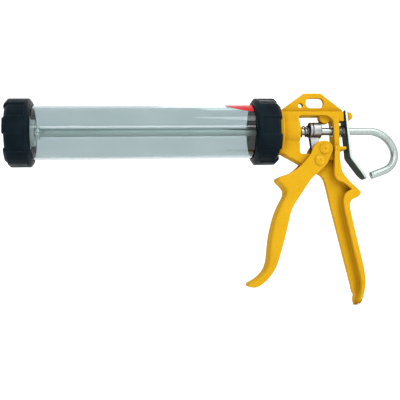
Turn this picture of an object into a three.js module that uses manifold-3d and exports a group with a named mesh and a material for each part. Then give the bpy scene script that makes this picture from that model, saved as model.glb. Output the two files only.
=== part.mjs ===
// A hand-operated caulking gun with a clear barrel for sealant sausages and cartridges.
//
// Millimetres, +Z up. +X runs along the barrel from the nozzle end to the pull hook, and +Y is across the gun.
// Every piece is drawn about the push rod's axis: X = 0 is just behind the disc that the barrel screws up to,
// and Y = Z = 0 is the rod's centre line. The whole gun is then moved so that its origin is the centre of its
// bounding box's base, level with the bottom of the handle.

import * as THREE from "three";
import { mergeVertices } from "three/addons/utils/BufferGeometryUtils.js";
import Module from "manifold-3d";

const wasm = await Module();
wasm.setup();

// ---------------------------------------------------------------------------- driving dimensions

const GAP = 0.3; // between pieces that touch
const FINE = 40; // segments round the barrel and the caps
const ROUND = 24; // segments round bushes, bosses and bores
const SMALL = 16; // segments round pins and wire ends

// screw caps: the same moulding at both ends, each with its closed end outwards
const CAP = { length: 25, r: 33.4, padR: 34.6, faceR: 31, rimR: 31, wall: 4, hole: 15, chamfer: 3.3 };
const PADS = { count: 6, proud: 1.4, collar: 5.6, innerR: 26.8 };
const FRONT_FACE = -280.7;
const REAR_FACE = -8.4;
const GASKET = { inner: 24.6, outer: 27.7, thick: 1.6 };

// barrel
const TUBE_R = 27.5;
const BORE_R = 25.5;
const TUBE_FRONT = FRONT_FACE + CAP.wall + GASKET.thick + 2 * GAP;
const TUBE_REAR = REAR_FACE - CAP.wall - GASKET.thick - 2 * GAP;
const CAP_INNER_R = TUBE_R + 0.5;

// push rod and its hook
const ROD_R = 4;
const ROD_BORE_R = 4.3;
const ROD_FRONT = -271.2;
const HOOK = { start: 92, r: 28, sweep: 75, endR: 17.5, endSweep: 85, tail: 16.5 };

// piston, clamped on the rod's threaded front end
const PISTON = {
  front: -271.8, length: 13, r: 24.8, lip: 2.5, skirt: 2.2, recess: 6.3, recessR: 12.5, web: 3,
};
const HUB = { r: 13.5, length: 8.2, flange: 4, cup: 18, cupLength: 3, stem: 10 };
const NUT = { acrossFlats: 12, height: 4.4 };
const PISTON_WASHER = { r: 11, thick: 1 };

// frame casting
const WEB = 6;
const RIM = 16;
const POST = 19;
const PALM = 26;
const NECK = { r: 24.5, front: REAR_FACE + GAP, rear: -3.2 };
const SPIGOT = { r: 14.6, front: -20, groove: 1.6, grooveR: 13.2 };
const BOSS = { r: 13.4, rear: 16.4, chamfer: 1.4 };
const WINDOW = { left: 15.8, right: 52, top: 16, bottom: -24.2, corner: 9.5, small: 2.5 };
const RIM_TOP = 20;
const POST_REAR = 57.8;
const SLOT = { x: 34.4, z: 29.9, length: 19, height: 10.6, corner: 4.9 };
const HOLE = { x: 19, z: 27.3, r: 2.4 };
const HANGING_BOSS = { x: 44.6, z: 14.4, r: 6.6, width: 8 };
const LUG = { rear: 63.8, top: 22.3, bottom: 9.8, notch: 57.5 };
const RIB = { z: -19.3, thick: 3.3, front: 51.6, rear: 63.2, width: 27.4 };
const PALM_FOOT = { z: -181, corner: 8 };
const DIMPLE = { x: 52.6, z: -47.4, r: 1.2, depth: 0.8 };
const NECK_BUSH = { r: 7, front: -19.5, rear: -6 };
const REAR_BUSH = { r: 6.2, front: 52.3, rear: 58.1 };
const SPRING_POCKET = { r: 6.6, front: 4.8 };

// trigger, its pins and the jaw that it drives
const PIVOT = { x: 35.4, z: -31.6 };
const DRIVE = { x: 40.8, z: -19.7 };
const PIN_R = 3;
const PIN_HEAD = { r: 5.6, thick: 1.1 };
const TRIGGER = { width: 24.4, gap: 16.8, headR: 8.7 };
const JAW = {
  front: 27.4, rear: 40, back: DRIVE.x - PIN_R - GAP, r: 8.6, z: 1, tongue: 7, bottom: -23.4, groove: 30.4,
};

// springs on the rod, either side of the frame's rear post
const DRIVE_SPRING = { front: SPRING_POCKET.front, rear: JAW.front, r: 5.5, wire: 0.65, turns: 5 };
const RELEASE_SPRING = { front: REAR_BUSH.rear, rear: 65.4, r: 5.9, wire: 0.5, turns: 3 };

// release plate: a steel strip that grips the rod while it leans
const PLATE = {
  thick: 2.6, width: 20, top: 21.5, front: 64.4, lean: 4, bend: -27, fold: 32, bendR: 6, tail: 26.5,
};
const NOTCH = { width: 6, bottom: 12.6 };
const KNOB = { front: 68.3, length: 6.6, r: 4.9, z: 15.8, width: 8, neck: { width: 4.8, height: 5 } };

// ---------------------------------------------------------------------------- solids and meshes

const rad = THREE.MathUtils.degToRad;

// A closed geometry as a manifold solid, without the flat triangles that a lathe leaves on its axis.
function solid(geometry) {
  const bare = new THREE.BufferGeometry();
  bare.setAttribute("position", geometry.getAttribute("position"));
  bare.setIndex(geometry.getIndex());
  const merged = mergeVertices(bare, 1e-4);
  const index = merged.index.array;
  const kept = [];
  for (let i = 0; i < index.length; i += 3) {
    const [a, b, c] = [index[i], index[i + 1], index[i + 2]];
    if (a !== b && b !== c && c !== a) kept.push(a, b, c);
  }
  return new wasm.Manifold(
    new wasm.Mesh({
      numProp: 3,
      vertProperties: merged.attributes.position.array,
      triVerts: new Uint32Array(kept),
    }),
  );
}

const union = (...parts) => parts.reduce((a, b) => a.add(b));

// A manifold solid as a named mesh.
function node(name, made, look) {
  const out = made.getMesh();
  const geometry = new THREE.BufferGeometry();
  geometry.setAttribute("position", new THREE.BufferAttribute(out.vertProperties, out.numProp));
  geometry.setIndex(new THREE.BufferAttribute(out.triVerts, 1));
  geometry.computeVertexNormals();
  const mesh = new THREE.Mesh(geometry, new THREE.MeshStandardMaterial(look));
  mesh.name = name;
  return mesh;
}

// A side outline, drawn in X and Z, extruded across the gun from y0 to y1.
function side(shape, y0, y1, curveSegments = 3) {
  const geometry = new THREE.ExtrudeGeometry(shape, { depth: y1 - y0, bevelEnabled: false, curveSegments });
  geometry.rotateX(Math.PI / 2);
  geometry.translate(0, y1, 0);
  return solid(geometry);
}

// The same outline, centred on the gun's middle plane.
const slab = (shape, width, curveSegments) => side(shape, -width / 2, width / 2, curveSegments);

// An end-on outline, drawn in Y and Z, extruded along X from x0 to x1.
function endOn(shape, x0, x1, curveSegments = 4) {
  const geometry = new THREE.ExtrudeGeometry(shape, { depth: x1 - x0, bevelEnabled: false, curveSegments });
  geometry.rotateX(Math.PI / 2);
  geometry.rotateZ(Math.PI / 2);
  geometry.translate(x0, 0, 0);
  return solid(geometry);
}

// A solid of revolution about X. The profile's [x, r] pairs start and end on the axis, or close on themselves.
function turned(profile, segments = ROUND) {
  const points = profile.map(([x, r]) => new THREE.Vector2(r, x));
  const geometry = new THREE.LatheGeometry(points, segments);
  geometry.rotateZ(-Math.PI / 2);
  return solid(geometry);
}

const rod = (r, x0, x1, segments) => turned([[x0, 0], [x0, r], [x1, r], [x1, 0]], segments);

const ring = (inner, outer, x0, x1, segments) =>
  turned([[x0, inner], [x0, outer], [x1, outer], [x1, inner], [x0, inner]], segments);

// A round pin or bore across the gun.
function across(r, x, z, y0, y1, segments = SMALL) {
  const geometry = new THREE.CylinderGeometry(r, r, y1 - y0, segments);
  geometry.translate(x, (y0 + y1) / 2, z);
  return solid(geometry);
}

function polygon(points) {
  const shape = new THREE.Shape();
  shape.moveTo(...points[0]);
  for (const point of points.slice(1)) shape.lineTo(...point);
  return shape;
}

// Runs a smooth curve on from a shape's last point, through the points given.
function curveOn(shape, points) {
  shape.splineThru(points.map(([x, z]) => new THREE.Vector2(x, z)));
}

const box = (x0, x1, z0, z1) => polygon([[x0, z0], [x1, z0], [x1, z1], [x0, z1]]);

// A box with a radius of its own at each corner: bottom left, bottom right, top right, top left.
function roundedBox(x0, x1, z0, z1, [bl, br, tr, tl]) {
  const shape = new THREE.Shape();
  const quarter = Math.PI / 2;
  shape.moveTo(x0 + bl, z0);
  shape.absarc(x1 - br, z0 + br, br, -quarter, 0);
  shape.absarc(x1 - tr, z1 - tr, tr, 0, quarter);
  shape.absarc(x0 + tl, z1 - tl, tl, quarter, 2 * quarter);
  shape.absarc(x0 + bl, z0 + bl, bl, 2 * quarter, 3 * quarter);
  return shape;
}

const hexagon = (acrossFlats) =>
  polygon([0, 1, 2, 3, 4, 5].map((i) => {
    const r = acrossFlats / Math.sqrt(3);
    return [r * Math.cos((i * Math.PI) / 3), r * Math.sin((i * Math.PI) / 3)];
  }));

// An arc in the gun's middle plane. Its heading starts at "heading" below +X and turns downwards by "sweep".
class Bend extends THREE.Curve {
  constructor(start, r, heading, sweep) {
    super();
    Object.assign(this, { r, heading: rad(heading), sweep: rad(sweep) });
    this.centre = start.clone();
    this.centre.x -= r * Math.sin(this.heading);
    this.centre.z -= r * Math.cos(this.heading);
  }

  getPoint(t, target = new THREE.Vector3()) {
    const turn = this.heading + t * this.sweep;
    const x = this.centre.x + this.r * Math.sin(turn);
    return target.set(x, 0, this.centre.z + this.r * Math.cos(turn));
  }
}

// A coil about the rod.
class Coil extends THREE.Curve {
  constructor({ front, rear, r, wire, turns }) {
    super();
    const end = GAP + wire;
    Object.assign(this, { x0: front + end, x1: rear - end, r, turns });
  }

  getPoint(t, target = new THREE.Vector3()) {
    const turn = 2 * Math.PI * this.turns * t;
    const x = this.x0 + (this.x1 - this.x0) * t;
    return target.set(x, this.r * Math.cos(turn), this.r * Math.sin(turn));
  }
}

// A round wire along a curve.
function wire(curve, r, steps, sides) {
  const corner = (i) => [r * Math.cos((2 * Math.PI * i) / sides), r * Math.sin((2 * Math.PI * i) / sides)];
  const section = polygon(Array.from({ length: sides }, (_, i) => corner(i)));
  return solid(new THREE.ExtrudeGeometry(section, { steps, bevelEnabled: false, extrudePath: curve }));
}

// ---------------------------------------------------------------------------- barrel

const barrelTube = () => ring(BORE_R, TUBE_R, TUBE_FRONT, TUBE_REAR, FINE);

// One cap with its closed end at X = 0, facing -X. Six raised grip pads stand between six plain stretches.
function cap() {
  const { length, r, padR, faceR, rimR, wall, hole, chamfer } = CAP;
  const step = padR - r;
  const collar = length - PADS.collar;
  const shell = turned(
    [
      [0, hole], [0, faceR - step], [chamfer, r], [collar, r], [collar, padR], [length - 2.6, padR],
      [length, rimR], [length, CAP_INNER_R], [wall, CAP_INNER_R], [wall, hole], [0, hole],
    ],
    FINE,
  );
  const grip = turned(
    [
      [wall / 2, PADS.innerR], [-PADS.proud, PADS.innerR], [-PADS.proud, faceR], [chamfer - 1, padR],
      [collar + 0.5, padR], [collar + 0.5, r - 1], [wall / 2, r - 4], [wall / 2, PADS.innerR],
    ],
    FINE,
  );
  const wedges = Array.from({ length: PADS.count }, (_, i) => {
    const from = (2 * Math.PI * i) / PADS.count;
    const to = from + Math.PI / PADS.count;
    const reach = 1.1 * padR;
    const corners = [from, to].map((a) => [reach * Math.cos(a), reach * Math.sin(a)]);
    return endOn(polygon([[0, 0], ...corners]), -wall, length);
  });
  return shell.add(grip.intersect(union(...wedges)));
}

const frontCap = () => cap().rotate([40.4, 0, 0]).translate([FRONT_FACE, 0, 0]);
const rearCap = () => cap().rotate([0, 0, 180]).rotate([43.4, 0, 0]).translate([REAR_FACE, 0, 0]);

function gasket(wallSide, direction) {
  const near = wallSide + direction * GAP;
  const far = near + direction * GASKET.thick;
  return ring(GASKET.inner, GASKET.outer, Math.min(near, far), Math.max(near, far), FINE);
}

const frontGasket = () => gasket(FRONT_FACE + CAP.wall, 1);
const rearGasket = () => gasket(REAR_FACE - CAP.wall, -1);

const SPIGOT_WASHER_FRONT = REAR_FACE - CAP.wall - GAP - 1.5;

const spigotWasher = () => ring(SPIGOT.r + GAP, 23, SPIGOT_WASHER_FRONT, SPIGOT_WASHER_FRONT + 1.5, FINE);

const circlipRear = SPIGOT_WASHER_FRONT - GAP;
const circlipFront = circlipRear - SPIGOT.groove + 2 * GAP;

// An open ring in the spigot's groove. It keeps the rear cap on the frame.
function circlip() {
  const opening = endOn(box(-4, 4, 10, 20), circlipFront - 1, circlipRear + 1);
  return ring(SPIGOT.grooveR + GAP, 17.6, circlipFront, circlipRear, FINE).subtract(opening);
}

// ---------------------------------------------------------------------------- rod and piston

function pushRod() {
  const start = new THREE.Vector3(HOOK.start, 0, 0);
  const first = new Bend(start, HOOK.r, 0, HOOK.sweep);
  const second = new Bend(first.getPoint(1), HOOK.endR, HOOK.sweep, HOOK.endSweep);
  const from = second.getPoint(1);
  const heading = rad(HOOK.sweep + HOOK.endSweep);
  const along = new THREE.Vector3(Math.cos(heading), 0, -Math.sin(heading));
  const tail = new THREE.LineCurve3(from, from.clone().addScaledVector(along, HOOK.tail));
  const path = new THREE.CurvePath();
  path.add(new THREE.LineCurve3(start.clone().setX(HOOK.start - 2), start));
  path.add(first);
  path.add(second);
  path.add(tail);
  return rod(ROD_R, ROD_FRONT, HOOK.start, SMALL).add(wire(path, ROD_R, 30, SMALL));
}

const SEAT = PISTON.front + PISTON.recess;

// A cup-shaped piston: a disc with a recess in front for its nut, and a thin skirt that trails behind it.
function pistonDisc() {
  const { front, length, r, lip, skirt, recessR, web } = PISTON;
  const rear = front + length;
  const back = SEAT + web;
  return turned(
    [
      [SEAT, ROD_BORE_R], [SEAT, recessR], [front, recessR], [front, r - lip], [front + lip, r], [rear, r],
      [rear, r - skirt], [back, r - skirt - 1], [back, ROD_BORE_R], [SEAT, ROD_BORE_R],
    ],
    FINE,
  );
}

const HUB_FRONT = SEAT + PISTON.web + GAP;
const HUB_REAR = HUB_FRONT + HUB.length;

// The white hub behind the piston fills its cup and ends in a round flange.
function pistonHub() {
  const { r, cup, stem } = HUB;
  const step = HUB_FRONT + HUB.cupLength;
  const flange = HUB_REAR - HUB.flange;
  return turned([
    [HUB_FRONT, ROD_BORE_R], [HUB_FRONT, cup], [step, cup], [step, stem], [flange, stem], [flange, r],
    [HUB_REAR - 1, r], [HUB_REAR, r - 1], [HUB_REAR, ROD_BORE_R], [HUB_FRONT, ROD_BORE_R],
  ]);
}

const nut = (x) => endOn(hexagon(NUT.acrossFlats), x, x + NUT.height).subtract(rod(ROD_BORE_R, x - 1, x + 5));

const frontNut = () => nut(SEAT - PISTON_WASHER.thick - 2 * GAP - NUT.height);
const rearNut = () => nut(HUB_REAR + GAP);

function pistonWasher() {
  const rear = SEAT - GAP;
  return ring(ROD_BORE_R, PISTON_WASHER.r, rear - PISTON_WASHER.thick, rear);
}

// ---------------------------------------------------------------------------- frame casting

// The thin upper plate: a peak with sloping shoulders, for the hanging slot.
function peakOutline() {
  return polygon([
    [NECK.front, 8], [NECK.front, 18], [0, 24.2], [23, 40.3], [41, 40.3], [LUG.rear, LUG.top],
    [LUG.rear, LUG.bottom], [LUG.notch, LUG.bottom], [LUG.notch, 8],
  ]);
}

// The deep rim round the window. Its lower edge slopes back to the handle.
function rimOutline() {
  return polygon([
    [NECK.front, -20], [0, -25], [34, -44.3], [40, -40], [45, -31], [POST_REAR, -30], [POST_REAR, RIM_TOP],
    [NECK.front, RIM_TOP],
  ]);
}

// The handle's thin web, between the palm flange and its plain front edge.
function handleWebOutline() {
  const shape = new THREE.Shape();
  shape.moveTo(30, -42);
  shape.lineTo(35.5, -45.1);
  curveOn(shape, [[40.2, -49.3], [43.1, -57.7], [46.7, -75.6]]);
  shape.lineTo(65.8, -160.9);
  curveOn(shape, [[67, -167.5], [69.4, -172]]);
  curveOn(shape, [[68.4, -176], [68.6, -180], [70.8, -181.3], [73, -179]]);
  shape.lineTo(75.5, -155);
  shape.lineTo(61, -78);
  shape.lineTo(72, -65);
  shape.lineTo(54, -46);
  shape.lineTo(54, -26);
  shape.lineTo(36, -26);
  return shape;
}

// The palm flange: its back runs down the post, out over a horn above the hand, and down to a rounded end.
function palmOutline() {
  const shape = new THREE.Shape();
  shape.moveTo(51.2, -16.5);
  shape.lineTo(50.4, -32);
  shape.lineTo(49.8, -47);
  curveOn(shape, [[53.2, -52.2], [60.3, -55.8], [67.6, -62]]);
  curveOn(shape, [[61, -66.2], [58.4, -73.4], [59.3, -84]]);
  shape.lineTo(72.2, -147.4);
  curveOn(shape, [[73.8, -156], [73.4, -165], [70.9, -176]]);
  curveOn(shape, [[70.7, -179.8], [72.8, -179.6]]);
  curveOn(shape, [[76.6, -168], [78.3, -155.7], [77.3, -143.5]]);
  shape.lineTo(66.3, -89);
  curveOn(shape, [[65, -79], [67.3, -73.2], [74, -70], [77.2, -66], [75.6, -63]]);
  shape.lineTo(65.7, -53.8);
  curveOn(shape, [[59, -44.5], [56.8, -33], [56.6, -16.5]]);
  return shape;
}

// The knob that traps the release plate: a short neck and a half-round head.
function knob() {
  const { front, length, r, z, neck } = KNOB;
  const stem = slab(box(LUG.rear - 1, front + 1, z - neck.height / 2, z + neck.height / 2), neck.width);
  const half = new THREE.Shape();
  half.moveTo(front, z - r);
  const shoulder = front + 0.7 * length;
  curveOn(half, [[shoulder, z - 0.75 * r], [front + length, z], [shoulder, z + 0.75 * r]]);
  half.lineTo(front, z + r);
  return stem.add(slab(half, KNOB.width));
}

function frameCasting() {
  const { left, right, top, bottom, corner, small } = WINDOW;
  const window = roundedBox(left, right, bottom, top, [small, small, corner, small]);
  const opened = union(
    slab(peakOutline(), WEB),
    slab(rimOutline(), RIM),
    slab(box(right - 0.6, POST_REAR, -28, top - 3), POST),
  ).subtract(slab(window, 2 * PALM, 5));
  const { x, z, length, height } = SLOT;
  const ends = [SLOT.corner, SLOT.corner, SLOT.corner, SLOT.corner];
  const slot = roundedBox(x - length / 2, x + length / 2, z - height / 2, z + height / 2, ends);
  const lug = box(LUG.notch - 2, LUG.rear, LUG.bottom, RIM_TOP);
  const hanging = HANGING_BOSS;
  const bossShoulder = BOSS.rear - BOSS.chamfer;
  const boss = [
    [NECK.rear - 1, 0], [NECK.rear - 1, BOSS.r], [bossShoulder, BOSS.r], [BOSS.rear, BOSS.r - BOSS.chamfer],
    [BOSS.rear, 0],
  ];
  const corners = [PALM_FOOT.corner, PALM_FOOT.corner, 1, 1];
  const palm = roundedBox(-PALM / 2, PALM / 2, PALM_FOOT.z, RIB.z + 3, corners);
  const cast = union(
    opened,
    rod(NECK.r, NECK.front, NECK.rear, FINE),
    rod(SPIGOT.r, SPIGOT.front, NECK.rear - 2, FINE),
    turned(boss),
    across(hanging.r, hanging.x, hanging.z, -hanging.width / 2, hanging.width / 2, ROUND),
    slab(lug, RIM),
    slab(box(RIB.front, RIB.rear, RIB.z - RIB.thick / 2, RIB.z + RIB.thick / 2), RIB.width),
    slab(handleWebOutline(), WEB + 1),
    slab(palmOutline(), PALM).intersect(endOn(palm, 40, 90)),
    knob(),
  );
  const groove = circlipFront - GAP;
  return cast
    .subtract(slab(slot, RIM))
    .subtract(across(HOLE.r, HOLE.x, HOLE.z, -RIM, RIM))
    .subtract(rod(ROD_BORE_R + 0.3, SPIGOT.front - 1, POST_REAR + 5))
    .subtract(rod(NECK_BUSH.r + GAP, SPIGOT.front - 1, NECK_BUSH.rear + GAP))
    .subtract(rod(SPRING_POCKET.r, SPRING_POCKET.front, BOSS.rear + 1))
    .subtract(rod(REAR_BUSH.r + GAP, WINDOW.right - 1, POST_REAR + 5))
    .subtract(ring(SPIGOT.grooveR, SPIGOT.r + 1, groove, groove + SPIGOT.groove, FINE))
    .subtract(across(PIN_R + GAP, PIVOT.x, PIVOT.z, -PALM, PALM))
    .subtract(across(DIMPLE.r, DIMPLE.x, DIMPLE.z, -PALM, DIMPLE.depth - PALM / 2))
    .subtract(across(DIMPLE.r, DIMPLE.x, DIMPLE.z, PALM / 2 - DIMPLE.depth, PALM));
}

const bush = ({ r, front, rear }) => ring(ROD_BORE_R, r, front, rear);

// ---------------------------------------------------------------------------- trigger and jaw

// The trigger from the side: a round head, a finger spur, and a grip that flares forwards at its end.
function triggerOutline() {
  const shape = new THREE.Shape();
  shape.moveTo(33.4, -12.7);
  curveOn(shape, [[30.3, -16], [28, -19.6], [26.2, -24.5]]);
  curveOn(shape, [[20.6, -31], [15.4, -36.7]]);
  curveOn(shape, [[8.2, -42], [0.5, -45.6], [-7.4, -48]]);
  curveOn(shape, [[-9.4, -50.2], [-7.8, -53.2]]);
  curveOn(shape, [[-2.2, -59.6], [-0.7, -64.2], [-2.4, -69]]);
  curveOn(shape, [[-8.1, -79], [-12.8, -90.4], [-16.4, -103], [-18.9, -115.4], [-21.1, -133.1]]);
  curveOn(shape, [[-23.4, -140.3], [-27.8, -146.5], [-33.8, -151.5]]);
  shape.lineTo(-41.6, -155.7);
  curveOn(shape, [[-43.2, -157.5], [-41.4, -159.9], [-37.4, -160.6]]);
  curveOn(shape, [[-33, -159.6], [-25.4, -154.8], [-17.6, -146.3], [-12.4, -137], [-3.8, -111], [1.9, -89.8]]);
  curveOn(shape, [[4.9, -81.1], [10.4, -72.5], [18.2, -61.3]]);
  shape.lineTo(25.9, -50.5);
  shape.lineTo(42.8, -35.4);
  shape.absarc(DRIVE.x, DRIVE.z, TRIGGER.headR, -0.45, 1.9);
  return shape;
}

// The hollow between the trigger's cheeks. It is open at the back and over the frame, and ends above the tip.
function triggerHollow() {
  const shape = new THREE.Shape();
  shape.moveTo(11.7, 0);
  shape.lineTo(11.7, -38);
  shape.lineTo(15.7, -46);
  curveOn(shape, [[8.7, -52.5], [4.2, -60], [2.3, -68]]);
  curveOn(shape, [[-5.2, -83], [-9.8, -95], [-13.8, -108.5], [-16.4, -125], [-18.2, -136], [-20.6, -142]]);
  shape.lineTo(-16.4, -144.5);
  shape.lineTo(0, -140);
  shape.lineTo(60, -40);
  shape.lineTo(60, 0);
  return shape;
}

function trigger() {
  return slab(triggerOutline(), TRIGGER.width)
    .subtract(slab(triggerHollow(), TRIGGER.gap))
    .subtract(across(PIN_R + GAP, PIVOT.x, PIVOT.z, -PALM, PALM))
    .subtract(across(PIN_R + GAP, DRIVE.x, DRIVE.z, -PALM, PALM));
}

// A cross pin with a low head outside each cheek.
function headedPin({ x, z }) {
  const seat = TRIGGER.width / 2 + GAP;
  const end = seat + PIN_HEAD.thick;
  return union(
    across(PIN_R, x, z, -seat - 0.1, seat + 0.1),
    across(PIN_HEAD.r, x, z, seat, end, ROUND),
    across(PIN_HEAD.r, x, z, -end, -seat, ROUND),
  );
}

// The jaw rides on the rod: a grooved collar, and a tongue that hangs in front of the drive pin.
function driveJaw() {
  const { front, rear, back, r, z, tongue, bottom, groove } = JAW;
  const collar = turned([
    [front, 0], [front, r - 0.8], [front + 0.8, r], [groove, r], [groove, r - 0.9], [groove + 1, r - 0.9],
    [groove + 1, r], [rear - 0.8, r], [rear, r - 0.8], [rear, 0],
  ]).translate([0, 0, z]);
  const outline = polygon([[front + 0.2, z - 5], [front + 2.4, bottom], [back, bottom], [back, z - 5]]);
  const hang = slab(outline, tongue);
  return collar.add(hang).subtract(rod(ROD_BORE_R, front - 1, rear + 1));
}

// ---------------------------------------------------------------------------- release plate

// The plate from the side: straight and leaning past the rod, then folded back for the finger.
function platePath() {
  const lean = rad(PLATE.lean);
  const bent = rad(PLATE.lean + PLATE.fold);
  const r = PLATE.bendR;
  const bendX = PLATE.front + (PLATE.top - PLATE.bend) * Math.tan(lean);
  const centre = [bendX + r * Math.cos(lean), PLATE.bend + r * Math.sin(lean)];
  return { lean, bent, r, centre };
}

function releasePlate() {
  const { lean, bent, r, centre } = platePath();
  const on = (radius, angle) => [centre[0] - radius * Math.cos(angle), centre[1] - radius * Math.sin(angle)];
  const down = ([x, z]) => [x + PLATE.tail * Math.sin(bent), z - PLATE.tail * Math.cos(bent)];
  const top = (x) => [x, PLATE.top];
  const middle = (lean + bent) / 2;
  const inner = r - PLATE.thick;
  const shape = polygon([
    top(PLATE.front), on(r, lean), on(r, middle), on(r, bent), down(on(r, bent)), down(on(inner, bent)),
    on(inner, bent), on(inner, middle), on(inner, lean), top(PLATE.front + PLATE.thick),
  ]);
  const half = PLATE.width / 2;
  const trim = roundedBox(-half, half, -60, PLATE.top, [8.5, 8.5, 3, 3]);
  const low = down(on(r, bent))[1];
  const face = endOn(trim, PLATE.front - 5, PLATE.front + 30).translate([0, 0, low + 60]);
  const upper = endOn(box(-PLATE.width, PLATE.width, -30, PLATE.top + 1), PLATE.front - 5, PLATE.front + 30);
  const rounded = union(slab(shape, PLATE.width).intersect(face), slab(shape, PLATE.width).intersect(upper));
  const slit = box(-NOTCH.width / 2, NOTCH.width / 2, NOTCH.bottom, 30);
  const notch = endOn(slit, PLATE.front - 5, PLATE.front + 9);
  return rounded.subtract(notch).subtract(rod(ROD_R + 0.75, PLATE.front - 5, PLATE.front + 12));
}

const spring = (size) => wire(new Coil(size), size.wire, 10 * size.turns, 6);

// ---------------------------------------------------------------------------- the whole gun

const YELLOW = { color: 0xf0b01e, roughness: 0.45, metalness: 0.1 };
const BLACK = { color: 0x14191c, roughness: 0.55, metalness: 0 };
const RUBBER = { color: 0x202020, roughness: 0.9, metalness: 0 };
const CLEAR = { color: 0xdfe6e8, roughness: 0.08, metalness: 0, transparent: true, opacity: 0.35 };
const STEEL = { color: 0xb9bdbd, roughness: 0.3, metalness: 1 };
const ZINC = { color: 0xc9cdc8, roughness: 0.4, metalness: 1 };
const BRONZE = { color: 0xb08d4c, roughness: 0.4, metalness: 1 };
const WHITE = { color: 0xe9ece8, roughness: 0.5, metalness: 0 };

const gun = new THREE.Group();
gun.add(
  node("frame_casting", frameCasting(), YELLOW),
  node("barrel_tube", barrelTube(), CLEAR),
  node("rear_cap", rearCap(), BLACK),
  node("rear_gasket", rearGasket(), RUBBER),
  node("spigot_washer", spigotWasher(), STEEL),
  node("circlip", circlip(), STEEL),
  node("front_rod_bush", bush(NECK_BUSH), BRONZE),
  node("rear_rod_bush", bush(REAR_BUSH), BRONZE),
  node("pivot_pin", headedPin(PIVOT), YELLOW),
  node("front_cap", frontCap(), BLACK),
  node("front_gasket", frontGasket(), RUBBER),
  node("push_rod", pushRod(), STEEL),
  node("front_lock_nut", frontNut(), ZINC),
  node("piston_washer", pistonWasher(), STEEL),
  node("piston_disc", pistonDisc(), BLACK),
  node("piston_hub", pistonHub(), WHITE),
  node("rear_lock_nut", rearNut(), ZINC),
  node("trigger", trigger(), YELLOW),
  node("drive_pin", headedPin(DRIVE), YELLOW),
  node("drive_jaw", driveJaw(), STEEL),
  node("drive_spring", spring(DRIVE_SPRING), STEEL),
  node("release_plate", releasePlate(), ZINC),
  node("release_spring", spring(RELEASE_SPRING), STEEL),
);

const extent = new THREE.Box3().setFromObject(gun);
gun.position.set(-(extent.min.x + extent.max.x) / 2, -(extent.min.y + extent.max.y) / 2, -extent.min.z);

const part = new THREE.Group();
part.add(gun);
export default part;
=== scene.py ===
"""The looks of the caulking gun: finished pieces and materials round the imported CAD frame."""

import math

import bmesh
import bpy
from mathutils import Matrix, Vector


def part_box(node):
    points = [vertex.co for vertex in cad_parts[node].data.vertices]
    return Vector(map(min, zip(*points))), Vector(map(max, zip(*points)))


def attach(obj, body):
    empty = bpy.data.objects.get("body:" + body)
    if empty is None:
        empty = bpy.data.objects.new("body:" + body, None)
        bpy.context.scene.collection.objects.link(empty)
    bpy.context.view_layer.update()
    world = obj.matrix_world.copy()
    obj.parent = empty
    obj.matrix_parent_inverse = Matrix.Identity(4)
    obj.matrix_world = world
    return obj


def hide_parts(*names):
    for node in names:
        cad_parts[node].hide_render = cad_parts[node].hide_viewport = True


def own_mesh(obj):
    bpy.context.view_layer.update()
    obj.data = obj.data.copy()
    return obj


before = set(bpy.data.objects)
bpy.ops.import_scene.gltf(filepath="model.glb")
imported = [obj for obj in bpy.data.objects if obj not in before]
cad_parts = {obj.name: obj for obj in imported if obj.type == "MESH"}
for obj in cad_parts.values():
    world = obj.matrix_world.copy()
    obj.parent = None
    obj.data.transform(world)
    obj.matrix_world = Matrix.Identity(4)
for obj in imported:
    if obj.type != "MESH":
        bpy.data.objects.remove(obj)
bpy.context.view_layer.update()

# ---------------------------------------------------------------- places and sizes, mm about the rod's axis

MM = 0.001
TUBE_FRONT = -274.5
TUBE_REAR = -14.6
TUBE_R = 27.5
BORE_R = 25.5
ROD_R = 4.0
ROD_FRONT = -271.2
THREAD_END = -246.0
THREAD_PITCH = 1.25
THREAD_DEPTH = 0.33
HOOK_START = 92.0
HOOK_BENDS = ((28.0, 75.0), (17.5, 85.0))  # radius, degrees turned
HOOK_TAIL = 16.5
SEAT = -265.5  # where the front washer bears on the piston
HUB_FRONT = SEAT + 3.3
HUB_REAR = HUB_FRONT + 8.2
ROD_BORE_R = 4.3
PIVOT = (35.4, -31.6)
DRIVE = (40.8, -19.7)
PIN_R = 3.0
TRIGGER_HALF = 12.2
TRIGGER_GRIP_TOP = -48.0  # below this the trigger's edges are rounder
PISTON_FRONT = -271.8
NUT_HEIGHT = 4.4
NUT_ACROSS_FLATS = 12.0
GAP = 0.3
WASHER_REAR = SEAT - GAP
WASHER_FRONT = WASHER_REAR - 1.0
WASHER_R = 11.0
GASKET = (24.6, 27.7)  # inner and outer radius
GASKET_THICK = 1.6
SPIGOT_WASHER = (14.9, 23.0, -14.2, -12.7)  # inner and outer radius, front and rear ends
FRONT_BUSH = (ROD_BORE_R, 7.0, -19.5, -6.0)
REAR_BUSH = (ROD_BORE_R, 6.2, 52.3, 58.1)
DRIVE_SPRING = (4.8, 27.4)  # front and rear ends
RELEASE_SPRING = (58.1, 65.2)

tube_low, tube_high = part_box("barrel_tube")
AXIS = Vector((tube_low.x - TUBE_FRONT * MM, 0, (tube_low.z + tube_high.z) / 2))


def place(x, y, z):
    """A point in mm about the rod's axis, in the row frame."""
    return Vector((x * MM, y * MM, z * MM)) + AXIS


# ---------------------------------------------------------------- mesh helpers


def new_piece(name, verts, faces, body, material, nodes, sharp=35):
    """A piece from vertices in metres and faces, with every face turned outward."""
    mesh = bpy.data.meshes.new(name)
    mesh.from_pydata([tuple(v) for v in verts], [], faces)
    facing = bmesh.new()
    facing.from_mesh(mesh)
    bmesh.ops.recalc_face_normals(facing, faces=facing.faces)
    facing.to_mesh(mesh)
    facing.free()
    return finish_piece(name, mesh, body, material, nodes, sharp)


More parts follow.
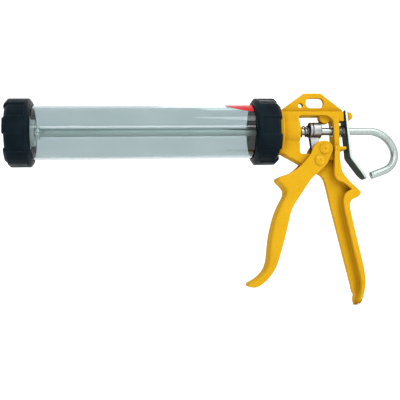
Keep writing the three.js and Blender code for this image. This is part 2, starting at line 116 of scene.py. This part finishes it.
def finish_piece(name, mesh, body, material, nodes, sharp):
    """Shades a mesh, sharp above an angle in degrees, and hands it to the frame."""
    mesh.validate()
    mesh.shade_smooth()
    if sharp:
        mesh.set_sharp_from_angle(angle=math.radians(sharp))
    mesh.materials.clear()
    mesh.materials.append(material)
    piece = bpy.data.objects.new(name, mesh)
    bpy.context.scene.collection.objects.link(piece)
    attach(piece, body)
    if nodes:
        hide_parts(*nodes)
    return piece


def softened(node, name, body, material, voxel, passes):
    """A CAD node's shape with its edges rounded, as casting and moulding leave them. The voxel is in mm."""
    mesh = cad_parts[node].data.copy()
    work = bpy.data.objects.new(name + "_work", mesh)
    bpy.context.scene.collection.objects.link(work)
    remesh = work.modifiers.new("remesh", "REMESH")
    remesh.mode = "VOXEL"
    remesh.voxel_size = voxel * MM
    smooth = work.modifiers.new("smooth", "SMOOTH")
    smooth.factor = 0.5
    smooth.iterations = passes
    evaluated = work.evaluated_get(bpy.context.evaluated_depsgraph_get())
    made = bpy.data.meshes.new_from_object(evaluated)
    bpy.data.objects.remove(work)
    made.name = name
    return finish_piece(name, made, body, material, [node], 0)


def rounded_off(piece, below, passes):
    """More rounding below a height in mm about the rod's axis. Each pass starts a little lower."""
    fade = 0.5
    work = bmesh.new()
    work.from_mesh(piece.data)
    for step in range(passes):
        limit = AXIS.z + (below - fade * step) * MM
        low = [vert for vert in work.verts if vert.co.z < limit]
        bmesh.ops.smooth_vert(work, verts=low, factor=0.5, use_axis_x=True, use_axis_y=True, use_axis_z=True)
    work.to_mesh(piece.data)
    work.free()


def rounded(profile, radius, steps=3):
    """A closed profile of (x, r) pairs with its corners turned into small curves."""
    out = []
    count = len(profile)
    for i, here in enumerate(profile):
        corner = Vector(here)
        ends = []
        for j in (i - 1, i + 1):
            other = Vector(profile[j % count])
            length = (other - corner).length
            ends.append(corner.lerp(other, min(radius / length, 0.45)))
        for k in range(steps + 1):
            t = k / steps
            point = ends[0].lerp(corner, t).lerp(corner.lerp(ends[1], t), t)
            out.append((point.x, point.y))
    return braced(out, radius)


def braced(profile, reach):
    """Adds a point near both ends of each long run, so that only the corners shade as round."""
    out = []
    count = len(profile)
    for i, here in enumerate(profile):
        out.append(here)
        a, b = Vector(here), Vector(profile[(i + 1) % count])
        length = (b - a).length
        if length > 2.5 * reach:
            out += [tuple(a.lerp(b, 0.5 * reach / length)), tuple(b.lerp(a, 0.5 * reach / length))]
    return out


def turned(profile, segments=96, closed=True, put=place, round_by=None):
    """Vertices and faces of a profile turned about its axis. round_by(x, r, angle) may reshape it."""
    verts, rings = [], []
    for x, r in profile:
        if r <= 1e-6:
            rings.append([len(verts)] * segments)
            verts.append(put(x, 0, 0))
            continue
        ring = []
        for k in range(segments):
            angle = 2 * math.pi * k / segments
            reach = round_by(x, r, angle) if round_by else r
            ring.append(len(verts))
            verts.append(put(x, reach * math.cos(angle), reach * math.sin(angle)))
        rings.append(ring)
    faces = []
    count = len(rings)
    for i in range(count if closed else count - 1):
        a, b = rings[i], rings[(i + 1) % count]
        for k in range(segments):
            n = (k + 1) % segments
            corners = [a[k], b[k], b[n], a[n]]
            unique = list(dict.fromkeys(corners))
            if len(unique) > 2:
                faces.append(unique)
    return verts, faces


def sweep(points, normals, radius, sides):
    """A closed tube along points. radius(i, angle) gives its radius, and the normals stand across it."""
    verts, faces = [], []
    last = len(points) - 1
    for i, (point, normal) in enumerate(zip(points, normals)):
        ahead = points[min(i + 1, last)] - points[max(i - 1, 0)]
        side = ahead.normalized().cross(normal).normalized()
        for k in range(sides):
            angle = 2 * math.pi * k / sides
            reach = radius(i, angle)
            verts.append(point + normal * (reach * math.cos(angle)) + side * (reach * math.sin(angle)))
    for i in range(last):
        for k in range(sides):
            n = (k + 1) % sides
            faces.append([i * sides + k, i * sides + n, (i + 1) * sides + n, (i + 1) * sides + k])
    faces.append(list(range(sides))[::-1])
    faces.append([last * sides + k for k in range(sides)])
    return verts, faces


# ---------------------------------------------------------------- materials


class Look:
    """A node material being built, with its Principled shader ready."""

    def __init__(self, name, roughness, metallic=0.0):
        self.material = bpy.data.materials.new(name)
        self.material.use_nodes = True
        self.tree = self.material.node_tree
        self.shader = self.tree.nodes["Principled BSDF"]
        self.set(Metallic=metallic, Roughness=roughness)
        self.place = self.tree.nodes.new("ShaderNodeTexCoord").outputs["Object"]

    def set(self, **values):
        for key, value in values.items():
            self.shader.inputs[key.replace("_", " ")].default_value = value

    def node(self, kind, inputs=None, **settings):
        made = self.tree.nodes.new(kind)
        for key, value in settings.items():
            setattr(made, key, value)
        for key, value in (inputs or {}).items():
            if isinstance(value, bpy.types.NodeSocket):
                self.tree.links.new(value, made.inputs[key])
            else:
                made.inputs[key].default_value = value
        return made

    def stretched(self, x, y, z):
        mapping = self.node("ShaderNodeMapping", {"Vector": self.place, "Scale": (x, y, z)})
        return mapping.outputs["Vector"]

    def noise(self, scale, detail=3.0, where=None):
        where = where or self.place
        made = self.node("ShaderNodeTexNoise", {"Vector": where, "Scale": scale, "Detail": detail,
                                                "Roughness": 0.5})
        return made.outputs["Fac"]

    def remap(self, value, low, high, to_low=0.0, to_high=1.0):
        made = self.node("ShaderNodeMapRange", {"Value": value, "From Min": low, "From Max": high,
                                                "To Min": to_low, "To Max": to_high})
        return made.outputs["Result"]

    def math(self, operation, a, b):
        return self.node("ShaderNodeMath", {0: a, 1: b}, operation=operation).outputs[0]

    def mix(self, factor, a, b):
        made = self.node("ShaderNodeMix", data_type="RGBA", blend_type="MIX")
        for index, value in ((0, factor), (6, a), (7, b)):
            if isinstance(value, bpy.types.NodeSocket):
                self.tree.links.new(value, made.inputs[index])
            else:
                made.inputs[index].default_value = value
        return made.outputs[2]

    def axis(self, output, name):
        """One coordinate of the Object or Normal output."""
        source = self.node("ShaderNodeTexCoord").outputs[output]
        return self.node("ShaderNodeSeparateXYZ", {0: source}).outputs[name]

    def edges(self, low, high):
        """1 along outer edges."""
        made = self.node("ShaderNodeNewGeometry")
        return self.remap(made.outputs["Pointiness"], low, high)

    def hollows(self, distance):
        """1 in the open, falling to 0 deep in corners, as seen within a distance in mm."""
        made = self.node("ShaderNodeAmbientOcclusion", {"Distance": distance * MM}, samples=8)
        return made.outputs["AO"]

    def link(self, value, name):
        self.tree.links.new(value, self.shader.inputs[name])

    def bump(self, layers):
        """layers are (height, distance in mm, strength)."""
        normal = None
        for height, distance, strength in layers:
            inputs = {"Height": height, "Distance": distance * MM, "Strength": strength}
            if normal:
                inputs["Normal"] = normal
            normal = self.node("ShaderNodeBump", inputs).outputs["Normal"]
        self.link(normal, "Normal")


def yellow_coat():
    """Satin enamel on a casting: lumpy and speckled, with painted shade in its corners, and worn pale on its
    edges.
    """
    look = Look("yellow_coat", 0.42)
    broad = look.noise(28, 3)
    fine = look.noise(850, 2)
    base = look.mix(look.remap(broad, 0.35, 0.65), (0.515, 0.280, 0.008, 1), (0.570, 0.322, 0.012, 1))
    base = look.mix(look.remap(look.noise(320, 3), 0.3, 0.7, 0.0, 0.35), base, (0.480, 0.252, 0.006, 1))
    # painted shade: the enamel is mixed towards deep orange-brown in corners and creases, where shade falls
    corner = look.remap(look.hollows(9), 0.30, 0.95, 1.0, 0.0)
    base = look.mix(corner, base, (0.240, 0.095, 0.002, 1))
    worn = look.math("MULTIPLY", look.edges(0.515, 0.60), look.remap(look.noise(140, 4), 0.42, 0.62))
    base = look.mix(look.math("MULTIPLY", worn, 0.55), base, (0.930, 0.620, 0.110, 1))
    look.link(base, "Base Color")
    look.link(look.remap(look.noise(190, 4), 0.3, 0.7, 0.60, 0.78), "Roughness")
    look.bump([(broad, 0.5, 0.20), (fine, 0.05, 0.30)])
    look.set(Specular_IOR_Level=0.06, IOR=1.2)
    return look.material


def black_moulding():
    """Blue-black nylon, paler in patches along its edges: scuff marks and a painted edge highlight."""
    look = Look("black_moulding", 0.45)
    broad = look.noise(45, 3)
    base = look.mix(look.remap(broad, 0.35, 0.65), (0.0014, 0.0048, 0.0075, 1), (0.0034, 0.0088, 0.0130, 1))
    # paler edges in noise patches: partly scuff marks, partly a painted edge highlight
    scuffs_and_edge_highlight = look.math("MULTIPLY", look.edges(0.51, 0.56), look.remap(look.noise(260, 4), 0.40, 0.70))
    base = look.mix(look.math("MULTIPLY", scuffs_and_edge_highlight, 0.5), base, (0.045, 0.058, 0.064, 1))
    look.link(base, "Base Color")
    look.link(look.remap(look.noise(120, 4), 0.3, 0.7, 0.34, 0.52), "Roughness")
    look.bump([(look.noise(1500, 2), 0.04, 0.35), (broad, 0.25, 0.12)])
    look.set(Specular_IOR_Level=0.12, IOR=1.25)
    return look.material


def rubber():
    """Dull black rubber."""
    look = Look("seal_rubber", 0.75)
    base = look.mix(look.noise(160, 3), (0.010, 0.010, 0.011, 1), (0.030, 0.030, 0.031, 1))
    look.link(base, "Base Color")
    look.link(look.remap(look.noise(400, 3), 0.3, 0.7, 0.62, 0.85), "Roughness")
    look.bump([(look.noise(1200, 3), 0.05, 0.5)])
    return look.material


def clear_barrel():
    """Smoke-tinted clear plastic with fine scratches along it."""
    look = Look("clear_barrel", 0.03)
    look.set(Transmission_Weight=1.0, IOR=1.38)
    streaks = look.noise(1.0, 4, look.stretched(9, 420, 420))
    haze = look.noise(22, 3)
    base = look.mix(look.remap(haze, 0.3, 0.7), (0.535, 0.606, 0.615, 1), (0.585, 0.650, 0.656, 1))
    look.link(base, "Base Color")
    scratched = look.remap(streaks, 0.45, 0.80, 0.015, 0.10)
    look.link(scratched, "Roughness")
    look.bump([(streaks, 0.01, 0.06), (haze, 0.02, 0.03)])
    smoke = look.node("ShaderNodeVolumeAbsorption", {"Color": (0.35, 0.45, 0.48, 1), "Density": 60.0})
    look.tree.links.new(smoke.outputs["Volume"], look.tree.nodes["Material Output"].inputs["Volume"])
    return look.material


def drawn_steel(name, dark, light, rough_low, rough_high, fineness=900, highlit_in_barrel=False, front_shaded=False):
    """Steel with fine lines along X and painted shade in its corners.

    One that is highlit in the barrel, as the rod is, has no painted corner shade and instead a painted
    highlight where the barrel covers it. A front-shaded one has painted shade on its front faces.
    """
    look = Look(name, rough_low, 1.0)
    look.set(Specular_Tint=(0.25, 0.28, 0.27, 1))
    lines = look.noise(1.0, 4, look.stretched(14, fineness, fineness))
    patches = look.noise(60, 4)
    base = look.mix(look.remap(patches, 0.3, 0.7), dark, light)
    base = look.mix(look.remap(lines, 0.35, 0.75, 0.0, 0.2), base, dark)
    if highlit_in_barrel:
        # painted highlight: the rod's colour is made paler along the length the barrel covers, standing in
        # for its bright reflection seen through the barrel
        painted_barrel_highlight = look.remap(look.axis("Object", "X"), tube_high.x - 0.02, tube_high.x + 0.01, 1.0, 0.0)
        base = look.mix(painted_barrel_highlight, base, (0.54, 0.61, 0.58, 1))
    else:
        # painted shade: darker in hollows and between parts, where shade falls
        painted_hollow_shade = look.remap(look.hollows(4), 0.25, 0.85, 0.85, 0.0)
        base = look.mix(painted_hollow_shade, base, (0.030, 0.034, 0.034, 1))
    if front_shaded:
        # painted shade: faces turned to the front (-X), on the side away from the key light, are made near
        # black
        painted_front_shade = look.remap(look.axis("Normal", "X"), -0.9, -0.5, 0.9, 0.0)
        base = look.mix(painted_front_shade, base, (0.012, 0.014, 0.014, 1))
    look.link(base, "Base Color")
    look.link(look.remap(look.math("ADD", lines, patches), 0.7, 1.3, rough_low, rough_high), "Roughness")
    look.bump([(lines, 0.02, 0.08), (patches, 0.03, 0.04)])
    return look.material


def release_steel():
    """Steel strip: painted shade making its broad faces near black, and a painted highlight on its side
    faces and edges.
    """
    look = Look("release_steel", 0.5)
    look.set(Specular_IOR_Level=0.06, IOR=1.2, Specular_Tint=(0.3, 0.34, 0.32, 1))
    # painted light: faces turned across the strip (its side faces) take the pale colour, the broad faces the
    # near-black one
    lit_side_faces = look.remap(look.math("ABSOLUTE", look.axis("Normal", "Y"), 0.0), 0.35, 0.80)
    patches = look.noise(90, 4)
    # painted shade: the near-black colour of the broad faces
    face = look.mix(look.remap(patches, 0.3, 0.7), (0.012, 0.026, 0.023, 1), (0.030, 0.050, 0.045, 1))
    # painted highlight: the pale colour of the side faces and edges
    bright = look.mix(look.noise(300, 3), (0.40, 0.48, 0.44, 1), (0.52, 0.60, 0.56, 1))
    base = look.mix(lit_side_faces, face, bright)
    # painted highlight along the strip's outer edges
    base = look.mix(look.math("MULTIPLY", look.edges(0.53, 0.62), 0.5), base, bright)
    look.link(base, "Base Color")
    look.link(look.remap(lit_side_faces, 0.0, 1.0, 0.0, 0.85), "Metallic")
    look.link(look.remap(look.noise(240, 4), 0.3, 0.7, 0.36, 0.54), "Roughness")
    look.bump([(look.noise(700, 3), 0.03, 0.3), (patches, 0.15, 0.1)])
    return look.material


def white_moulding():
    """White plastic with painted shade in its corners."""
    look = Look("white_moulding", 0.45)
    base = look.mix(look.noise(70, 3), (0.86, 0.90, 0.88, 1), (0.95, 0.97, 0.95, 1))
    # painted shade: greenish grey in corners and recesses, where shade falls
    base = look.mix(look.remap(look.hollows(3), 0.2, 0.8, 0.5, 0.0), base, (0.30, 0.36, 0.34, 1))
    look.link(base, "Base Color")
    look.link(look.remap(look.noise(200, 3), 0.3, 0.7, 0.36, 0.55), "Roughness")
    look.bump([(look.noise(900, 2), 0.03, 0.3)])
    return look.material


def bronze():
    """Mottled bearing bronze."""
    look = Look("bush_bronze", 0.35, 1.0)
    base = look.mix(look.noise(120, 4), (0.36, 0.23, 0.08, 1), (0.56, 0.39, 0.16, 1))
    look.link(base, "Base Color")
    look.link(look.remap(look.noise(500, 3), 0.3, 0.7, 0.30, 0.50), "Roughness")
    look.bump([(look.noise(1100, 2), 0.03, 0.3)])
    return look.material


def red_sticker():
    """Plain red film with a few paler specks."""
    look = Look("red_sticker", 0.35)
    look.set(Specular_IOR_Level=0.15, IOR=1.3)
    base = look.mix(look.noise(60, 3), (0.40, 0.010, 0.014, 1), (0.50, 0.018, 0.020, 1))
    base = look.mix(look.remap(look.noise(500, 3), 0.55, 0.75, 0.0, 0.35), base, (0.60, 0.10, 0.08, 1))
    look.link(base, "Base Color")
    look.link(look.remap(look.noise(300, 3), 0.3, 0.7, 0.28, 0.45), "Roughness")
    look.bump([(look.noise(600, 3), 0.02, 0.3)])
    return look.material


YELLOW = yellow_coat()
BLACK = black_moulding()
RUBBER = rubber()
CLEAR = clear_barrel()
# the rod: a painted highlight along the part inside the barrel, and no painted corner shade
ROD_STEEL = drawn_steel("rod_steel", (0.28, 0.325, 0.31, 1), (0.40, 0.455, 0.43, 1), 0.26, 0.38,
                        500, highlit_in_barrel=True)
# jaw and spring wire: painted shade on their front faces and in their hollows
JAW_STEEL = drawn_steel("jaw_steel", (0.16, 0.165, 0.17, 1), (0.40, 0.405, 0.41, 1), 0.28, 0.42,
                        front_shaded=True)
WIRE_STEEL = drawn_steel("spring_steel", (0.10, 0.105, 0.11, 1), (0.28, 0.29, 0.30, 1), 0.25, 0.38,
                         front_shaded=True)
NUT_STEEL = drawn_steel("nut_steel", (0.62, 0.68, 0.65, 1), (0.82, 0.88, 0.85, 1), 0.22, 0.36)
PLATE_STEEL = release_steel()
WHITE = white_moulding()
BRONZE = bronze()
RED = red_sticker()

# ---------------------------------------------------------------- barrel and caps


def make_ring(name, node, body, material, profile, corner=0.3, segments=96):
    """A turned piece about the rod, with its corners rounded by a radius in mm."""
    verts, faces = turned(rounded(profile, corner), segments)
    new_piece(name, verts, faces, body, material, [node])


def ring_profile(inner, outer, front, rear):
    """The section of a plain ring, in mm."""
    return [(front, inner), (front, outer), (rear, outer), (rear, inner)]


make_ring("clear_barrel", "barrel_tube", "frame", CLEAR,
          ring_profile(BORE_R, TUBE_R, TUBE_FRONT, TUBE_REAR), 0.4, 160)
softened("front_cap", "front_screw_cap", "front_closure", BLACK, 0.55, 3)
softened("rear_cap", "rear_screw_cap", "frame", BLACK, 0.55, 3)
make_ring("front_seal_ring", "front_gasket", "front_seal", RUBBER,
          ring_profile(*GASKET, TUBE_FRONT - GAP - GASKET_THICK, TUBE_FRONT - GAP), 0.5)
make_ring("rear_seal_ring", "rear_gasket", "frame", RUBBER,
          ring_profile(*GASKET, TUBE_REAR + GAP, TUBE_REAR + GAP + GASKET_THICK), 0.5)
make_ring("spigot_ring", "spigot_washer", "frame", NUT_STEEL,
          ring_profile(*SPIGOT_WASHER), 0.3)
softened("circlip", "retaining_clip", "frame", WIRE_STEEL, 0.22, 3)
make_ring("front_bush", "front_rod_bush", "frame", BRONZE,
          ring_profile(*FRONT_BUSH), 0.4, 64)
make_ring("rear_bush", "rear_rod_bush", "frame", BRONZE,
          ring_profile(*REAR_BUSH), 0.4, 64)


def sticker():
    """A plain red sticker on the barrel's upper near side, with a curved lower edge."""
    front, rear = -63.0, -34.0
    top, widest = math.radians(8), math.radians(42)
    along, across = 28, 36
    outer, inner = TUBE_R + 0.12, TUBE_R + 0.02
    verts, faces = [], []
    for radius in (outer, inner):
        for i in range(along + 1):
            u = max(i / along, 0.004)
            half = widest * math.sqrt(1 - (1 - u) ** 2)
            for k in range(across + 1):
                angle = -top - half * k / across
                x = front + (rear - front) * u
                verts.append(place(x, radius * math.sin(angle), radius * math.cos(angle)))
    row, sheet = across + 1, (along + 1) * (across + 1)
    for i in range(along):
        for k in range(across):
            a = i * row + k
            faces.append([a, a + row, a + row + 1, a + 1])
            faces.append([sheet + a + 1, sheet + a + row + 1, sheet + a + row, sheet + a])
    rim = list(range(row)) + [i * row + across for i in range(1, along + 1)]
    rim += [along * row + k for k in range(across - 1, -1, -1)] + [i * row for i in range(along - 1, 0, -1)]
    for a, b in zip(rim, rim[1:] + rim[:1]):
        faces.append([a, b, sheet + b, sheet + a])
    new_piece("barrel_sticker", verts, faces, "frame", RED, [])


sticker()

# ---------------------------------------------------------------- piston


def hexagonal(front, rear):
    """A nut's outline: six flats whose corners are turned down at both faces."""
    outer = NUT_ACROSS_FLATS / 2
    chamfer, corner_rise = 0.9, 1.1

    def reach(x, r, angle):
        if r < outer - 1:
            return r
        step = math.pi / 3
        flat = outer / math.cos((angle + step / 2) % step - step / 2)
        inset = min(x - front, rear - x)
        return min(flat, outer + 0.1 + max(inset, 0) / chamfer * corner_rise)

    return reach


def nut(name, node, front):
    """A hexagon nut on the rod, with its front face at a place in mm."""
    rear = front + NUT_HEIGHT
    countersink = 0.5
    insets = (0.0, 0.3, 0.6, 0.9)
    levels = [front + inset for inset in insets] + [rear - inset for inset in reversed(insets)]
    profile = [(front + countersink, ROD_BORE_R), (front, ROD_BORE_R + countersink)]
    profile += [(x, NUT_ACROSS_FLATS / 2) for x in levels]
    profile += [(rear, ROD_BORE_R + countersink), (rear - countersink, ROD_BORE_R)]
    verts, faces = turned(profile, 120, round_by=hexagonal(front, rear))
    new_piece(name, verts, faces, "rod", NUT_STEEL, [node], 20)


nut("front_nut", "front_lock_nut", WASHER_FRONT - GAP - NUT_HEIGHT)
nut("rear_nut", "rear_lock_nut", HUB_REAR + GAP)
make_ring("front_nut_washer", "piston_washer", "rod", NUT_STEEL,
          ring_profile(ROD_BORE_R, WASHER_R, WASHER_FRONT, WASHER_REAR), 0.25)


def piston_section():
    """The cup's section: a web on the rod, a grooved face round its recess, a wiper lip and a skirt."""
    web = 3.0
    face = ((0.0, 12.5), (0.0, 16.0), (0.8, 16.6), (0.8, 17.6), (0.0, 18.2), (0.0, 22.3))
    wall = ((2.5, 24.8), (5.5, 24.8), (6.0, 24.2), (7.4, 24.2), (7.9, 24.8), (13.0, 24.8), (13.0, 22.6))
    outline = [(PISTON_FRONT + back, r) for back, r in face + wall]
    return [(SEAT, ROD_BORE_R), (SEAT, 12.5)] + outline + [(SEAT + web, 21.6), (SEAT + web, ROD_BORE_R)]


def hub_section():
    """The hub's section: a flange on the piston's web, a neck and a grooved collar."""
    flange, collar, groove = HUB_FRONT + 3.0, HUB_REAR - 4.0, HUB_REAR - 0.6
    return [(HUB_FRONT, ROD_BORE_R), (HUB_FRONT, 18.0), (flange, 18.0), (flange, 10.0), (collar, 10.0),
            (collar, 13.5), (HUB_REAR, 13.5), (HUB_REAR, 9.6), (groove, 9.2), (groove, 8.2), (HUB_REAR, 7.8),
            (HUB_REAR, ROD_BORE_R)]


make_ring("piston_cup", "piston_disc", "piston", BLACK, piston_section(), 0.4, 128)
make_ring("piston_boss", "piston_hub", "piston", WHITE, hub_section(), 0.5)

# ---------------------------------------------------------------- rod and springs


def hook_path():
    """Centre-line points of the hook, in mm, after the straight rod."""
    x, z, heading = HOOK_START, 0.0, 0.0
    points = []
    for radius, turn in HOOK_BENDS:
        centre = (x - radius * math.sin(heading), z - radius * math.cos(heading))
        steps = int(turn / 3)
        for i in range(1, steps + 1):
            angle = heading + math.radians(turn) * i / steps
            points.append((centre[0] + radius * math.sin(angle), centre[1] + radius * math.cos(angle)))
        heading += math.radians(turn)
        x, z = points[-1]
    for share in (0.25, 0.5, 0.75, 0.94, 0.985, 1.0):
        reach = HOOK_TAIL * share
        points.append((x + reach * math.cos(heading), z - reach * math.sin(heading)))
    return points


def rod_piece():
    """The rod with a cut thread at its front and the hook at its rear, its free ends chamfered."""
    rings_per_turn = 8
    step = THREAD_PITCH / rings_per_turn
    count = int((THREAD_END - ROD_FRONT) / step)
    line = [(ROD_FRONT + i * step, 0.0) for i in range(count + 1)]
    line += [(THREAD_END + 1.5, 0.0)] + [(x, 0.0) for x in range(-240, int(HOOK_START), 6)]
    line += [(HOOK_START, 0.0)]
    line += hook_path()
    points = [place(x, 0, z) for x, z in line]
    last = len(line) - 1
    ends = {0: 0.80, 1: 0.86, 2: 0.93, last: 0.72, last - 1: 0.90}

    def radius(i, angle):
        share = ends.get(i, 1.0)
        x = line[i][0]
        cut = 0.0
        if i <= count:
            wave = abs(2 * (((x - ROD_FRONT) / THREAD_PITCH - angle / (2 * math.pi)) % 1.0) - 1)
            cut = THREAD_DEPTH * (1 - wave)
        return (ROD_R - cut) * share * MM

    verts, faces = sweep(points, [Vector((0, 1, 0))] * len(points), radius, 48)
    new_piece("push_rod_and_hook", verts, faces, "rod", ROD_STEEL, ["push_rod"], 50)


rod_piece()


def coil_spring(name, node, front, rear, radius, wire, turns, closed_turns=1.0):
    """A compression spring whose ends are closed up. Its wire and radius are in mm."""
    low, high = front + GAP + wire, rear - GAP - wire
    ring = 40
    steps = int(turns * ring)
    closed_pitch = wire * 2.1
    middle = (high - low - 2 * closed_turns * closed_pitch) / (turns - 2 * closed_turns)
    points, normals = [], []
    x = low
    for i in range(steps + 1):
        done = i / ring
        pitch = closed_pitch if done < closed_turns or done > turns - closed_turns else middle
        angle = 2 * math.pi * done
        outward = Vector((0, math.cos(angle), math.sin(angle)))
        points.append(place(x, radius * outward.y, radius * outward.z))
        normals.append(outward)
        x += pitch / ring
    verts, faces = sweep(points, normals, lambda i, angle: wire * MM, 12)
    return new_piece(name, verts, faces, "frame", WIRE_STEEL, [node], 60)


drive_spring = coil_spring("jaw_spring", "drive_spring", *DRIVE_SPRING, 5.5, 0.65, 6)
place(DRIVE_SPRING[0], 0, 0)
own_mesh(drive_spring)
release_spring = coil_spring("release_plate_spring", "release_spring", *RELEASE_SPRING, 5.9, 0.5, 3.5, 0.75)
place(RELEASE_SPRING[0], 0, 0)
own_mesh(release_spring)

# ---------------------------------------------------------------- castings, pins, jaw and plate

softened("frame_casting", "cast_frame", "frame", YELLOW, 0.6, 6)
trigger = softened("trigger", "cast_trigger", "trigger", YELLOW, 0.6, 8)
rounded_off(trigger, TRIGGER_GRIP_TOP, 30)
softened("drive_jaw", "grip_jaw", "jaw", JAW_STEEL, 0.3, 3)
softened("release_plate", "release_strip", "release_lever", PLATE_STEEL, 0.42, 4)


def pin(name, node, body, centre):
    """A cross pin with a low rounded head on both sides, each with a shallow ring and a centre dimple."""
    seat = TRIGGER_HALF + GAP
    face = seat + 0.8
    dimple = [(face - 0.55, 0.0), (face - 0.50, 0.45), (face, 0.95)]
    groove = [(face, 3.9), (face - 0.18, 4.1), (face - 0.18, 4.35), (face - 0.02, 4.55)]
    rim = [(face - 0.05, 4.9), (face - 0.35, 5.4), (seat + 0.2, 5.6), (seat, 5.45), (seat, PIN_R)]
    half = dimple + groove + rim
    profile = [(-along, r) for along, r in half] + [(along, r) for along, r in reversed(half)]

    def put(along, u, v):
        return place(centre[0] + u, along, centre[1] + v)

    verts, faces = turned(profile, 64, closed=False, put=put)
    new_piece(name, verts, faces, body, YELLOW, [node], 50)


pin("pivot_bolt", "pivot_pin", "frame", PIVOT)
pin("drive_bolt", "drive_pin", "trigger", DRIVE)

# ---------------------------------------------------------------- floor, light and camera


def floor():
    """A pale plane that runs to the horizon."""
    reach = 6.0
    mesh = bpy.data.meshes.new("floor")
    mesh.from_pydata([(-reach, -reach, 0), (reach, -reach, 0), (reach, reach, 0), (-reach, reach, 0)], [],
                     [(0, 1, 2, 3)])
    look = Look("floor_pale", 0.9)
    look.link(look.mix(look.noise(3, 2), (0.92, 0.92, 0.92, 1), (0.95, 0.95, 0.95, 1)), "Base Color")
    mesh.materials.append(look.material)
    piece = bpy.data.objects.new("floor", mesh)
    bpy.context.scene.collection.objects.link(piece)


def area_light(name, spot, target, width, height, power):
    """A soft rectangular light, in metres and watts."""
    light = bpy.data.lights.new(name, "AREA")
    light.shape = "RECTANGLE"
    light.size, light.size_y = width, height
    light.energy = power
    lamp = bpy.data.objects.new(name, light)
    lamp.location = spot
    lamp.rotation_euler = (Vector(target) - Vector(spot)).to_track_quat("-Z", "Y").to_euler()
    bpy.context.scene.collection.objects.link(lamp)


def studio():
    """A white surround, bright above and behind and dim in front and below, and three soft lights."""
    brightest = (0.50, 0.35, 0.79)
    world = bpy.data.worlds.new("studio")
    bpy.context.scene.world = world
    world.use_nodes = True
    tree = world.node_tree
    toward = tree.nodes.new("ShaderNodeVectorMath")
    toward.operation = "DOT_PRODUCT"
    tree.links.new(tree.nodes.new("ShaderNodeTexCoord").outputs["Generated"], toward.inputs[0])
    toward.inputs[1].default_value = brightest
    dimmed = tree.nodes.new("ShaderNodeMapRange")
    dimmed.interpolation_type = "SMOOTHSTEP"
    tree.links.new(toward.outputs["Value"], dimmed.inputs["Value"])
    for key, value in (("From Min", -0.70), ("From Max", 0.30), ("To Min", 0.10), ("To Max", 1.35)):
        dimmed.inputs[key].default_value = value
    background = tree.nodes["Background"]
    background.inputs["Color"].default_value = (1, 1, 1, 1)
    tree.links.new(dimmed.outputs["Result"], background.inputs["Strength"])
    middle = (0, 0, 0.12)
    area_light("key", (0.55, -0.80, 1.15), middle, 0.7, 0.7, 6)
    area_light("strip", (-0.05, -1.0, 0.45), (0, 0, 0.18), 1.4, 0.12, 3.5)
    area_light("back", (0.4, 0.9, 0.9), middle, 0.7, 0.7, 2)


def camera():
    """The viewpoint: in front, a little to the left and below the barrel."""
    yaw, pitch, roll = 0.1117, 0.0733, -0.0242
    spot = place(-167.5, -700.0, -121.76)
    ahead = Vector((math.sin(yaw) * math.cos(pitch), math.cos(yaw) * math.cos(pitch), math.sin(pitch)))
    level = Vector((math.cos(yaw), -math.sin(yaw), 0))
    upright = level.cross(ahead)
    right = level * math.cos(roll) + upright * math.sin(roll)
    up = upright * math.cos(roll) - level * math.sin(roll)
    data = bpy.data.cameras.new("camera")
    data.sensor_width = 36
    data.lens = 62.11
    data.clip_start, data.clip_end = 0.01, 50
    made = bpy.data.objects.new("camera", data)
    made.matrix_world = Matrix((right, up, -ahead)).transposed().to_4x4()
    made.location = spot
    bpy.context.scene.collection.objects.link(made)
    bpy.context.scene.camera = made


floor()
studio()
camera()
bpy.context.scene.view_settings.view_transform = "Standard"
